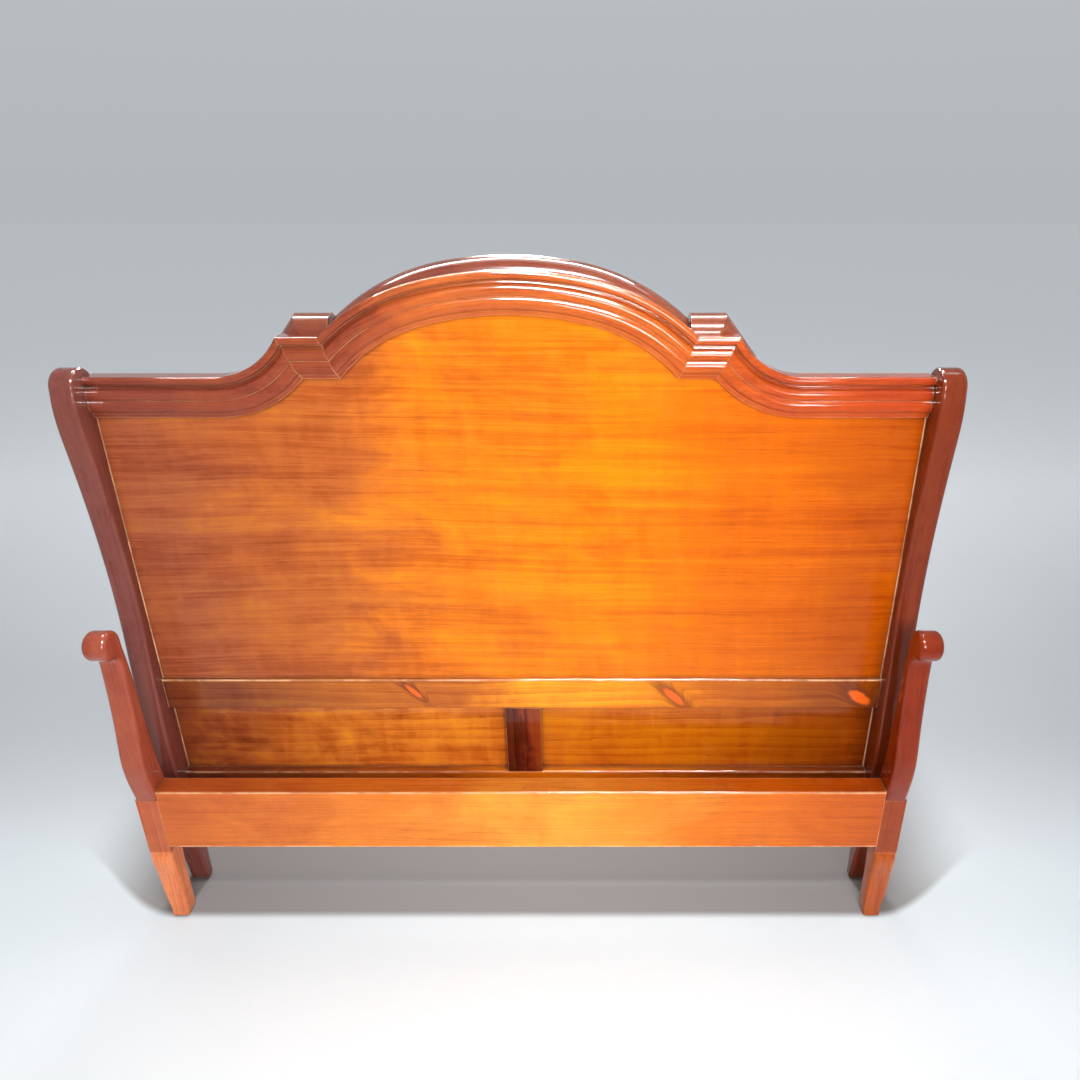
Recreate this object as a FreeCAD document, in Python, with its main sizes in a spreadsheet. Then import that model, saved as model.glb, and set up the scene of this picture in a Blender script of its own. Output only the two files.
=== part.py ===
"""Sleigh bed ends: a tall arched headboard with its low footboard stood in front of it.

Millimetres. +Z is up, +X is to the right as seen from the foot of the bed, and -Y points to
the foot of the bed. The origin is on the floor, under the middle of the two ends as they
stand together. Most of the bed is symmetric about the plane X = 0, so the right-hand pieces
are modelled and the left-hand ones are their mirror images.
"""
import FreeCAD, Part
import math
import os

Vector = FreeCAD.Vector

SIZES = {
    # the two ends as a whole
    "inner_width": (1545, "clear width between the posts, for a 1530 mm mattress"),
    "post_width": (48, "width of every post, arm and leg block along X"),
    "panel_front": (31, "Y of the big panel's front face"),
    "foot_front": (-96, "Y of the footboard rail's front face"),
    # headboard frame, depths measured from the big panel's front face
    "panel_thick": (12, "big panel"),
    "lower_panel_thick": (6, "small panels below the mid rail"),
    "lower_panel_set": (13, "small panels behind the big panel's front face"),
    "frame_proud": (5, "rails and stile in front of the big panel"),
    "frame_back": (24, "rails, stile and crest behind the big panel's front face"),
    "mid_rail_low": (489, "underside of the mid rail"),
    "mid_rail_high": (564, "top of the mid rail"),
    "bottom_rail_low": (209, "underside of the bottom rail"),
    "bottom_rail_high": (316, "top of the bottom rail"),
    "stile_width": (77, "centre stile"),
    "groove_depth": (8, "grooves that hold the panels"),
    "tenon_length": (20, "tenons of the rails"),
    "tenon_thick": (16, "tenons of the rails"),
    "tenon_shoulder": (10, "rail above and below its tenon"),
    "edge_round": (3, "softened arrises of the rails"),
    # crest: the line where the moulding meets the big panel
    "apex_height": (1326, "crest line at the middle"),
    "arch_radius": (620, "crown of the arch"),
    "arch_angle": (14, "crown of the arch, each side of the middle"),
    "flank_radius": (315, "flanks of the arch"),
    "spring_angle": (48, "slope where the arch meets the shoulder"),
    "shoulder_length": (68, "flat shoulder beside the arch"),
    "wing_radius": (218, "hollow curve from the shoulder to the wing"),
    "moulding_width": (76, "crest moulding, measured across its run"),
    "panel_rebate": (12, "crest moulding over the edge of the big panel"),
    "glue_line": (0.3, "gap where curved glued faces meet"),
    "roll_radius": (36, "rolled crown behind the crest"),
    "roll_top": (1421.7, "top of the rolled crown at the middle"),
    "roll_arch_radius": (700, "top of the rolled crown over the arch"),
    "roll_arch_angle": (9.3, "that arc, each side of the middle"),
    "roll_flank_radius": (423, "top of the rolled crown over the arch's flanks"),
    "roll_step": (330, "X where the rolled crown steps up to its shoulder"),
    "roll_shoulder": (1320, "top of the rolled crown's shoulder"),
    "fall_start": (397, "X where the rolled crown turns down"),
    "fall_angle": (52, "slope of the rolled crown's fall"),
    "fall_length": (130, "length of the rolled crown's fall"),
    "crest_tenon": (16, "tenon at the end of each wing"),
    # footboard
    "foot_rail_low": (209, "underside of the footboard rail"),
    "foot_rail_high": (363, "top of the footboard rail"),
    "foot_rail_thick": (44, "footboard rail"),
    "block_low": (191, "underside of the leg blocks"),
    "block_high": (339, "top of the leg blocks, under the scroll arms"),
    "block_depth": (56, "leg blocks along Y"),
    "arm_head_radius": (30, "scroll heads of the arms"),
    "dowel_radius": (5, "dowels between arm and block"),
    "dowel_length": (30, "dowels between arm and block"),
    "dowel_play": (0.3, "hole beyond the dowel, all round"),
    # bed rail hook plates and their screws
    "plate_width": (20, "hook plate"),
    "plate_height": (120, "hook plate"),
    "plate_thick": (3, "hook plate, let in flush"),
    "plate_centre": (258, "height of the hook plates' middle"),
    "slot_width": (6, "slots for the bed rail's hooks"),
    "slot_length": (22, "slots for the bed rail's hooks"),
    "slot_spacing": (52, "slot to slot"),
    "hook_depth": (16, "mortise behind the slots"),
    "screw_spacing": (100, "screw to screw"),
    "screw_radius": (2, "shank of a hook plate screw"),
    "screw_head_radius": (4, "head of a hook plate screw"),
    "screw_length": (28, "hook plate screw, head included"),
    "screw_play": (0.3, "hole beyond the screw"),
    # floor glides
    "glide_radius": (12, "glide"),
    "glide_thick": (4, "glide, and the height of the wood above the floor"),
}

doc = FreeCAD.newDocument("SleighBed")
sheet = doc.addObject("Spreadsheet::Sheet", "Sizes")
for row, (alias, (value, meaning)) in enumerate(SIZES.items(), start=1):
    sheet.set(f"A{row}", meaning)
    sheet.set(f"B{row}", str(value))
    sheet.setAlias(f"B{row}", alias)
doc.recompute()

nodes = []


def size(alias):
    """One driving dimension, read from the spreadsheet."""
    return float(sheet.get(alias))


def node(thing, label):
    """Name a finished sub-part; its label names its file."""
    thing.Label = label
    nodes.append(thing)
    return thing


# --- general building blocks ---------------------------------------------------------------

def block(name, x, y, z):
    """Box between two planes along each axis; each pair holds expressions on the sheet."""
    box = doc.addObject("Part::Box", name)
    for axis, side, (low, high) in zip("xyz", ("Length", "Width", "Height"), (x, y, z)):
        box.setExpression(f"Placement.Base.{axis}", low)
        box.setExpression(side, f"({high}) - ({low})")
    return box


def cylinder(name, centre, direction, radius, length):
    """Cylinder from a centre, given as three expressions, along a direction."""
    rod = doc.addObject("Part::Cylinder", name)
    rod.Placement.Rotation = FreeCAD.Rotation(Vector(0, 0, 1), direction)
    for axis, expression in zip("xyz", centre):
        rod.setExpression(f"Placement.Base.{axis}", expression)
    rod.setExpression("Radius", radius)
    rod.setExpression("Height", length)
    return rod


def fuse(name, pieces):
    """All the pieces as one shape."""
    union = doc.addObject("Part::MultiFuse", name)
    union.Shapes = pieces
    return union


def cut(name, base, tools):
    """The base with every tool taken away."""
    result = doc.addObject("Part::Cut", name)
    result.Base = base
    result.Tool = fuse(name + "Tools", tools) if len(tools) > 1 else tools[0]
    result.Refine = True
    return result


def mirrored(name, source):
    """Mirror image of a right-hand piece, for the left."""
    twin = doc.addObject("Part::Mirroring", name)
    twin.Source = source
    twin.Normal = Vector(1, 0, 0)
    return twin


def round_edges(name, base, radius, wanted):
    """Fillet the edges that the test picks, in a Part::Fillet."""
    doc.recompute()
    rounding = doc.addObject("Part::Fillet", name)
    rounding.Base = base
    rounding.Edges = [(number, radius, radius)
                      for number, edge in enumerate(base.Shape.Edges, start=1)
                      if wanted(edge.BoundBox)]
    return rounding


def along_x(box):
    """A straight edge that runs along X."""
    return box.YLength < 0.01 and box.ZLength < 0.01


def origin_plane(body, role):
    """One of a body's own base planes."""
    return next(plane for plane in body.Origin.OriginFeatures if plane.Role == role)


def sketch_on(body, name, role, offset):
    """Empty sketch parallel to a base plane of its body, moved along its normal."""
    sketch = body.newObject("Sketcher::SketchObject", name)
    sketch.AttachmentSupport = [(origin_plane(body, role), "")]
    sketch.MapMode = "FlatFace"
    sketch.setExpression("AttachmentOffset.Base.z", offset)
    return sketch


def side_profile(body, name, curves):
    """Closed outline in the YZ plane, at the inner face of the posts."""
    sketch = sketch_on(body, name, "YZ_Plane", "Sizes.inner_width / 2")
    sketch.addGeometry(curves, False)
    return sketch


def smooth(points):
    """Smooth curve drawn by its control points: it leaves along the first leg between them,
    arrives along the last and follows the others closely."""
    curve = Part.BSplineCurve()
    count = len(points)
    inner_knots = count - 4
    multiplicities = [4] + [1] * inner_knots + [4]
    poles = [Vector(*point, 0) for point in points]
    curve.buildFromPolesMultsKnots(poles, multiplicities, list(range(inner_knots + 2)), False, 3)
    return curve


def line(start, end):
    """Straight piece of an outline."""
    return Part.LineSegment(Vector(*start, 0), Vector(*end, 0))


def arc(start, middle, end):
    """Round piece of an outline, through three points."""
    return Part.Arc(Vector(*start, 0), Vector(*middle, 0), Vector(*end, 0))


def padded_profile(label, curves, inner_round, outer_round):
    """Post or arm: a side profile as thick as the post, its long arrises rounded."""
    body = doc.addObject("PartDesign::Body", label)
    pad = body.newObject("PartDesign::Pad", label + "Pad")
    pad.Profile = side_profile(body, label + "Profile", curves)
    pad.setExpression("Length", "Sizes.post_width")
    doc.recompute()
    last = pad
    inner = size("inner_width") / 2
    for side, place, radius in (("Inner", inner, inner_round),
                                ("Outer", inner + size("post_width"), outer_round)):
        edges = [f"Edge{number}" for number, edge in enumerate(last.Shape.Edges, start=1)
                 if abs(edge.BoundBox.XMin - place) < 0.01
                 and abs(edge.BoundBox.XMax - place) < 0.01
                 and edge.BoundBox.ZLength > 1]
        fillet = body.newObject("PartDesign::Fillet", label + side)
        fillet.Base = (last, edges)
        fillet.Radius = radius
        doc.recompute()
        last = fillet
    body.Tip = last
    return body


# --- expressions that many pieces share -----------------------------------------------------

HALF = "Sizes.inner_width / 2"
POST_OUTER = "Sizes.inner_width / 2 + Sizes.post_width"
POST_MIDDLE = "Sizes.inner_width / 2 + Sizes.post_width / 2"
FRAME_Y = ("Sizes.panel_front - Sizes.frame_proud", "Sizes.panel_front + Sizes.frame_back")
TENON_Y = ("Sizes.panel_front + 2", "Sizes.panel_front + 2 + Sizes.tenon_thick")
PANEL_Y = ("Sizes.panel_front", "Sizes.panel_front + Sizes.panel_thick")
LOWER_Y = ("Sizes.panel_front + Sizes.lower_panel_set",
           "Sizes.panel_front + Sizes.lower_panel_set + Sizes.lower_panel_thick")
FOOT_TENON_Y = ("Sizes.foot_front + 14", "Sizes.foot_front + 14 + Sizes.tenon_thick")
FOOT_TENON_Z = ("Sizes.foot_rail_low + Sizes.tenon_shoulder", "Sizes.block_high - 30")
DOWEL_BACKS = (16, 40)
# the wings' end tenons: behind the big panel's front face, and out from the crest line
WING_TENON_DEPTH = (2, 14)
WING_TENON_RUN = (22, 58)


def head_y(forward):
    """Y of a place that far in front of the big panel's front face."""
    return size("panel_front") - forward


def foot_y(forward):
    """Y of a place that far in front of the footboard rail's front face."""
    return size("foot_front") - forward


# --- hook plates: a steel plate let into each post, with two slots for a side rail's hooks ----

# face: Y of the post's mattress side; outward: which way that side faces
HEAD_POST_FRONT = 42
# the glide's middle, in front of the big panel's face, under the post's toe and heel
HEAD_GLIDE = 4
HEAD_PLATE = {"face": str(head_y(HEAD_POST_FRONT)), "outward": -1}
FOOT_PLATE = {"face": "Sizes.foot_front + Sizes.block_depth", "outward": 1}


def span(side, start, depth):
    """Y range that starts at a depth behind the mattress-side face and goes on inwards."""
    near = f"({side['face']}) - ({side['outward']}) * ({start})"
    far = f"({near}) - ({side['outward']}) * ({depth})"
    return (near, far) if side["outward"] < 0 else (far, near)


def slot(name, side, height, start, depth):
    """Round-ended slot through the plate, upright, for one hook."""
    half_run = "(Sizes.slot_length - Sizes.slot_width) / 2"
    low, high = f"({height}) - {half_run}", f"({height}) + {half_run}"
    y = span(side, start, depth)
    width = (f"{POST_MIDDLE} - Sizes.slot_width / 2", f"{POST_MIDDLE} + Sizes.slot_width / 2")
    ends = [cylinder(f"{name}End{number}", (POST_MIDDLE, y[0], level), Vector(0, 1, 0),
                     "Sizes.slot_width / 2", depth)
            for number, level in enumerate((low, high))]
    return fuse(name, [block(name + "Middle", width, y, (low, high))] + ends)


def plate_levels(spacing):
    """Heights of the lower and upper of two features on a plate."""
    return [f"Sizes.plate_centre {sign} Sizes.{spacing} / 2" for sign in "-+"]


def screw(name, side, level, grow):
    """Countersunk wood screw, or, grown a little, the hole that takes it."""
    inwards = Vector(0, -side["outward"], 0)
    centre = (POST_MIDDLE, side["face"], level)
    shank = cylinder(name + "Shank", centre, inwards, f"Sizes.screw_radius + {grow}",
                     f"Sizes.screw_length + {grow}")
    head = doc.addObject("Part::Cone", name + "Head")
    head.Placement = shank.Placement
    for axis, expression in zip("xyz", centre):
        head.setExpression(f"Placement.Base.{axis}", expression)
    head.setExpression("Radius1", f"Sizes.screw_head_radius + {grow}")
    head.setExpression("Radius2", f"Sizes.screw_radius + {grow}")
    head.setExpression("Height", "Sizes.screw_head_radius - Sizes.screw_radius")
    return fuse(name, [shank, head])


def hook_plate(end, side):
    """Steel plate with two hook slots and two countersunk holes, and its mirror image."""
    width = (f"{POST_MIDDLE} - Sizes.plate_width / 2", f"{POST_MIDDLE} + Sizes.plate_width / 2")
    height = ("Sizes.plate_centre - Sizes.plate_height / 2",
              "Sizes.plate_centre + Sizes.plate_height / 2")
    blank = block(end + "PlateBlank", width, span(side, "0", "Sizes.plate_thick"), height)
    holes = [slot(f"{end}PlateSlot{number}", side, level, "-1", "Sizes.plate_thick + 2")
             for number, level in enumerate(plate_levels("slot_spacing"))]
    holes += [screw(f"{end}PlateHole{number}", side, level, "Sizes.screw_play")
              for number, level in enumerate(plate_levels("screw_spacing"))]
    right = node(cut(end + "Plate", blank, holes), f"{end.lower()}board_hook_plate_right")
    node(mirrored(end + "PlateTwin", right), f"{end.lower()}board_hook_plate_left")
    screws = [screw(f"{end}Screw{number}", side, level, "0")
              for number, level in enumerate(plate_levels("screw_spacing"))]
    twins = [mirrored(thing.Name + "Twin", thing) for thing in screws]
    group = doc.addObject("Part::Compound", end + "Screws")
    group.Links = screws + twins
    node(group, f"{end.lower()}board_hook_screws")


def plate_pockets(end, side):
    """What a plate takes out of its post: its own bed, the hook mortises, the screw holes."""
    width = (f"{POST_MIDDLE} - Sizes.plate_width / 2", f"{POST_MIDDLE} + Sizes.plate_width / 2")
    height = ("Sizes.plate_centre - Sizes.plate_height / 2",
              "Sizes.plate_centre + Sizes.plate_height / 2")
    tools = [block(end + "PlateBed", width, span(side, "-1", "Sizes.plate_thick + 1"), height)]
    mortise = (f"{POST_MIDDLE} - Sizes.slot_width / 2 - 2",
               f"{POST_MIDDLE} + Sizes.slot_width / 2 + 2")
    for number, level in enumerate(plate_levels("slot_spacing")):
        run = (f"({level}) - Sizes.slot_length / 2 - 3", f"({level}) + Sizes.slot_length / 2 + 3")
        depth = span(side, "Sizes.plate_thick - 1", "Sizes.hook_depth + 1")
        tools.append(block(f"{end}HookMortise{number}", mortise, depth, run))
    tools += [screw(f"{end}ScrewHole{number}", side, level, "Sizes.screw_play")
              for number, level in enumerate(plate_levels("screw_spacing"))]
    return tools


# --- headboard posts: serpentine boards that end in a scroll head -----------------------------

def head_post_curves():
    """Side outline of a headboard post: distance in front of the big panel, then height."""
    floor = size("glide_thick")
    head_out, head_up, radius = 13, 1198.5, 36
    turn = math.radians(15)
    brow = (head_out + radius, head_up)
    crown = (head_out, head_up + radius)
    nape = (head_out - radius * math.cos(turn), head_up - radius * math.sin(turn))
    toe, heel = 16, -8
    shin = [(toe, floor), (19, 40), (29, 95), (HEAD_POST_FRONT, 145), (HEAD_POST_FRONT, 190)]
    front = [(HEAD_POST_FRONT, 330), (HEAD_POST_FRONT, 400), (39, 500), (33, 600), (26, 690),
             (23.5, 790), (27, 890), (35, 990), (47, 1085), (55.5, 1145), (53, 1178), brow]
    back = [nape, (-18.2, 1175.7), (-19, 1145), (-28, 1095), (-38, 1000), (-42, 860),
            (-39, 720), (-33, 570), (-29, 440), (-26, 320), (-24, 210), (-14, 120),
            (heel, 60), (heel, floor)]

    def flat(points):
        return [(head_y(out), up) for out, up in points]

    return [
        line(*flat([(heel, floor), shin[0]])),
        smooth(flat(shin)),
        line(*flat([shin[-1], front[0]])),
        smooth(flat(front)),
        arc(*flat([brow, crown, nape])),
        smooth(flat(back)),
    ]


def head_post():
    """Right headboard post with its joinery, and its mirror image."""
    stock = padded_profile("HeadPost", head_post_curves(), inner_round=6, outer_round=12)
    into_post = (f"{HALF} - 1", f"{HALF} + Sizes.tenon_length")
    groove = (f"{HALF} - 1", f"{HALF} + Sizes.groove_depth")
    wing_tenon_y = tuple(str(size("panel_front") + depth) for depth in WING_TENON_DEPTH)
    panel_top = wing_line() + size("panel_rebate")
    tools = [
        block("MidMortise", into_post, TENON_Y,
              ("Sizes.mid_rail_low + Sizes.tenon_shoulder",
               "Sizes.mid_rail_high - Sizes.tenon_shoulder")),
        block("BottomMortise", into_post, TENON_Y,
              ("Sizes.bottom_rail_low + Sizes.tenon_shoulder",
               "Sizes.bottom_rail_high - Sizes.tenon_shoulder")),
        block("PanelGroove", groove, PANEL_Y,
              ("Sizes.mid_rail_high - Sizes.groove_depth", str(panel_top))),
        block("LowerGroove", groove, LOWER_Y,
              ("Sizes.bottom_rail_high - Sizes.groove_depth",
               "Sizes.mid_rail_low + Sizes.groove_depth")),
        block("WingMortise", (f"{HALF} - 1", f"{HALF} + Sizes.crest_tenon"), wing_tenon_y,
              tuple(str(wing_line() + out) for out in WING_TENON_RUN)),
    ]
    tools += plate_pockets("Head", HEAD_PLATE)
    right = node(cut("HeadPostRight", stock, tools), "headboard_post_right")
    node(mirrored("HeadPostLeft", right), "headboard_post_left")


# --- headboard rails, stile and small panels --------------------------------------------------

def tenoned_rail(name, y, low, high, tenon_y):
    """Rail between the posts with a tenon at each end."""
    across = (f"-({HALF})", HALF)
    board = block(name + "Board", across, y, (low, high))
    tongue = block(name + "Tongue", (f"-({HALF}) - Sizes.tenon_length",
                                     f"{HALF} + Sizes.tenon_length"), tenon_y,
                   (f"{low} + Sizes.tenon_shoulder", f"{high} - Sizes.tenon_shoulder"))
    return board, tongue


def headboard_frame():
    """Mid rail, bottom rail, centre stile and the two small panels between them."""
    across = (f"-({HALF})", HALF)
    edge = size("edge_round")
    front = size("panel_front") - size("frame_proud")

    board, tongue = tenoned_rail("MidRail", FRAME_Y, "Sizes.mid_rail_low",
                                 "Sizes.mid_rail_high", TENON_Y)
    softened = round_edges("MidRailRound", board, edge,
                           lambda box: along_x(box) and abs(box.YMin - front) < 0.01)
    grooves = [
        block("MidTopGroove", across, PANEL_Y,
              ("Sizes.mid_rail_high - Sizes.groove_depth", "Sizes.mid_rail_high + 1")),
        block("MidLowGroove", across, LOWER_Y,
              ("Sizes.mid_rail_low - 1", "Sizes.mid_rail_low + Sizes.groove_depth")),
    ]
    node(cut("MidRail", fuse("MidRailStock", [softened, tongue]), grooves), "mid_rail")

    board, tongue = tenoned_rail("BottomRail", FRAME_Y, "Sizes.bottom_rail_low",
                                 "Sizes.bottom_rail_high", TENON_Y)
    softened = round_edges("BottomRailRound", board, edge,
                           lambda box: along_x(box) and abs(box.YMin - front) < 0.01)
    groove = block("BottomGroove", across, LOWER_Y,
                   ("Sizes.bottom_rail_high - Sizes.groove_depth",
                    "Sizes.bottom_rail_high + 1"))
    node(cut("BottomRail", fuse("BottomRailStock", [softened, tongue]), [groove]),
         "bottom_rail")

    half_stile = "Sizes.stile_width / 2"
    upright = ("Sizes.bottom_rail_high", "Sizes.mid_rail_low")
    panel_rise = ("Sizes.bottom_rail_high - Sizes.groove_depth",
                  "Sizes.mid_rail_low + Sizes.groove_depth")
    stile = block("StileBoard", (f"-{half_stile}", half_stile), FRAME_Y, upright)
    stub = block("StileStub", (f"-{half_stile} + Sizes.groove_depth",
                               f"{half_stile} - Sizes.groove_depth"), LOWER_Y, panel_rise)
    side_grooves = [
        block("StileGrooveRight", (f"{half_stile} - Sizes.groove_depth", f"{half_stile} + 1"),
              LOWER_Y, upright),
        block("StileGrooveLeft", (f"-{half_stile} - 1", f"-{half_stile} + Sizes.groove_depth"),
              LOWER_Y, upright),
    ]
    node(cut("Stile", fuse("StileStock", [stile, stub]), side_grooves), "centre_stile")

    right = node(block("LowerPanelRight", (f"{half_stile} - Sizes.groove_depth",
                                           f"{HALF} + Sizes.groove_depth"),
                       LOWER_Y, panel_rise), "lower_panel_right")
    node(mirrored("LowerPanelLeft", right), "lower_panel_left")


# --- crest: mouldings that follow one line of arcs and straights, mitred at the shoulders -----

def spring_point():
    """Where the right flank of the arch meets its shoulder, on the crest line."""
    top, crown, flank = size("apex_height"), size("arch_radius"), size("flank_radius")
    turn, spring = math.radians(size("arch_angle")), math.radians(size("spring_angle"))
    centre_x = (crown - flank) * math.sin(turn)
    centre_z = top - crown + (crown - flank) * math.cos(turn)
    return (centre_x + flank * math.sin(spring), centre_z + flank * math.cos(spring)), \
        (centre_x, centre_z)


def wing_line():
    """Height of the crest line along the wings."""
    (_, shoulder), _ = spring_point()
    return shoulder - size("wing_radius") * (1 - math.cos(math.radians(size("spring_angle"))))


def wing_centre():
    """Centre of the hollow curve between shoulder and wing."""
    (start, _), _ = spring_point()
    radius = size("wing_radius")
    reach = radius * math.sin(math.radians(size("spring_angle")))
    return start + size("shoulder_length") + reach, wing_line() + radius


def section_face(edges, base, angle):
    """Moulding section set up across the crest line.

    base is the point on the line and angle the lean of its outward side from upright, towards
    +X. The section's own coordinates are the distance out from the line and the distance in
    front of the big panel.
    """
    def place(out, forward):
        return Vector(base[0] + out * math.sin(angle), head_y(forward),
                      base[1] + out * math.cos(angle))

    curves = []
    for points in edges:
        spots = [place(*point) for point in points]
        if len(spots) == 2:
            curves.append(Part.makeLine(*spots))
        else:
            curves.append(Part.Arc(*spots).toShape())
    return Part.Face(Part.Wire(curves))


def turned(edges, centre, radius, start, end):
    """Moulding round an arc, between two leans in degrees; a negative radius is a hollow."""
    angle = math.radians(start)
    base = (centre[0] + radius * math.sin(angle), centre[1] + radius * math.cos(angle))
    face = section_face(edges, base, angle)
    return face.revolve(Vector(centre[0], 0, centre[1]), Vector(0, 1, 0), end - start)


def straight(edges, start, end):
    """Moulding along a straight run, with its outward side on the left of the run."""
    run = Vector(end[0] - start[0], 0, end[1] - start[1])
    angle = math.atan2(-run.z, run.x)
    return section_face(edges, start, angle).extrude(run)


def trimmed(shape, point, lean, keep_right):
    """The part of a moulding on one side of a mitre through a point, leaning towards +X."""
    reach, depth = 900, 400
    along = Vector(math.sin(lean), 0, math.cos(lean))
    aside = Vector(math.cos(lean), 0, -math.sin(lean)) * (reach if keep_right else -reach)
    corner = Vector(point[0], -depth, point[1]) - along * reach
    quad = [corner, corner + aside, corner + aside + along * 2 * reach,
            corner + along * 2 * reach]
    face = Part.Face(Part.makePolygon(quad + quad[:1]))
    return shape.common(face.extrude(Vector(0, 2 * depth, 0)))


def crest_section():
    """Crest moulding: two rounds and a bead in front, a rebate for the panel behind."""
    width, back, rebate = size("moulding_width"), -size("frame_back"), size("panel_rebate")
    return [
        [(0, 0), (0, 6)],
        [(0, 6), (8, 8)],
        [(8, 8), (21, 17), (33, 12.5)],
        [(33, 12.5), (43, 16.5), (53, 11)],
        [(53, 11), (57, 7.5), (61, 7)],
        [(61, 7), (68, 16), (width, 9)],
        [(width, 9), (width, back)],
        [(width, back), (rebate, back)],
        [(rebate, back), (rebate, 0)],
        [(rebate, 0), (0, 0)],
    ]


def roll_section():
    """Rolled crown about its own middle: a round, squared where it lies behind the crest."""
    radius, flat = size("roll_radius"), -size("frame_back")
    middle, slant = flat - radius, radius * math.sqrt(0.5)
    return [
        [(-radius, flat), (0, flat)],
        [(0, flat), (slant, middle + slant), (radius, middle)],
        [(radius, middle), (0, middle - radius), (-radius, middle)],
        [(-radius, middle), (-radius, flat)],
    ]


def feature(name, shape, label):
    """Sub-part whose shape is worked out here."""
    thing = doc.addObject("Part::Feature", name)
    thing.Shape = shape
    return node(thing, label)


def feature_pair(name, shape, label):
    """Right-hand sub-part and its mirror image."""
    right = feature(name + "Right", shape, label + "_right")
    node(mirrored(name + "Left", right), label + "_left")


def arch_run(edges, top, crown_radius, flank_radius, turn, stop, mitre):
    """Moulding over a whole arch: the crown to a lean of turn, then a flank on each side to a
    lean of stop, ended on a mitre that is given by a point and its own lean."""
    lean, step = math.radians(turn), crown_radius - flank_radius
    crown_centre = (0, top - crown_radius)
    flank_centre = (step * math.sin(lean), crown_centre[1] + step * math.cos(lean))
    crown = turned(edges, crown_centre, crown_radius, -turn, turn)
    flank = turned(edges, flank_centre, flank_radius, turn, stop)
    flank = trimmed(flank, *mitre, keep_right=False)
    twin = flank.mirror(Vector(0, 0, 0), Vector(1, 0, 0))
    return crown.multiFuse([flank, twin]).removeSplitter()


def spring_mitre():
    """Lean of the mitre between arch and shoulder: their outer edges meet on it."""
    (spring, shoulder), centre = spring_point()
    width = size("moulding_width")
    rise = shoulder + width - centre[1]
    outer = centre[0] + math.sqrt((size("flank_radius") + width) ** 2 - rise ** 2)
    return math.atan2(outer - spring, width)


def wing_mitre():
    """Lean of the mitre between shoulder and wing: their outer edges meet on it."""
    (spring, shoulder), _ = spring_point()
    centre = wing_centre()
    width = size("moulding_width")
    drop = centre[1] - shoulder - width
    outer = centre[0] - math.sqrt((size("wing_radius") - width) ** 2 - drop ** 2)
    return math.atan2(outer - spring - size("shoulder_length"), width)


def crest_mouldings():
    """Arch, shoulders and wings of the crest, each its own piece, glued at the mitres."""
    edges = crest_section()
    (spring, shoulder), _ = spring_point()
    corner = (spring + size("shoulder_length"), shoulder)
    arch = arch_run(edges, size("apex_height"), size("arch_radius"), size("flank_radius"),
                    size("arch_angle"), size("spring_angle"),
                    ((spring, shoulder), spring_mitre()))
    feature("CrestArch", arch, "crest_arch")

    flat = straight(edges, (spring, shoulder), (corner[0] + size("moulding_width"), shoulder))
    flat = trimmed(flat, (spring, shoulder), spring_mitre(), keep_right=True)
    flat = trimmed(flat, corner, wing_mitre(), keep_right=False)
    feature_pair("CrestShoulder", flat, "crest_shoulder")

    centre, level, end = wing_centre(), wing_line(), size("inner_width") / 2
    hollow = turned(edges, centre, -size("wing_radius"), size("spring_angle") + 20, 0)
    run = straight(edges, (centre[0], level), (end, level))
    tenon_low, tenon_high = (level + out for out in WING_TENON_RUN)
    front, back = (size("panel_front") + depth for depth in WING_TENON_DEPTH)
    tenon = Part.makeBox(size("crest_tenon"), back - front, tenon_high - tenon_low,
                         Vector(end, front, tenon_low))
    wing = trimmed(hollow, corner, wing_mitre(), keep_right=True)
    wing = wing.multiFuse([run, tenon]).removeSplitter()
    feature_pair("CrestWing", wing, "crest_wing")


def crown_roll():
    """Rolled crown behind the arch, then a step up to each shoulder and a fall beyond it."""
    edges, radius, step = roll_section(), size("roll_radius"), size("roll_step")
    level = size("roll_shoulder") - radius
    arch = arch_run(edges, size("roll_top") - radius, size("roll_arch_radius") - radius,
                    size("roll_flank_radius") - radius, size("roll_arch_angle"),
                    size("fall_angle") + 10, ((step, level), 0))
    feature("CrownRollArch", arch, "crown_roll_arch")

    slope = math.radians(size("fall_angle"))
    corner = (size("fall_start"), size("roll_shoulder"))
    flat = straight(edges, (step, level), (corner[0] + radius, level))
    flat = trimmed(flat, corner, slope / 2, keep_right=False)

    base = (corner[0] - radius * math.sin(slope), corner[1] - radius * math.cos(slope))
    run = Vector(math.cos(slope), 0, -math.sin(slope))
    start = (base[0] - run.x * radius, base[1] - run.z * radius)
    end = (base[0] + run.x * size("fall_length"), base[1] + run.z * size("fall_length"))
    fall = trimmed(straight(edges, start, end), corner, slope / 2, keep_right=True)
    feature_pair("CrownRollSide", flat.fuse(fall).removeSplitter(), "crown_roll_side")


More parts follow.
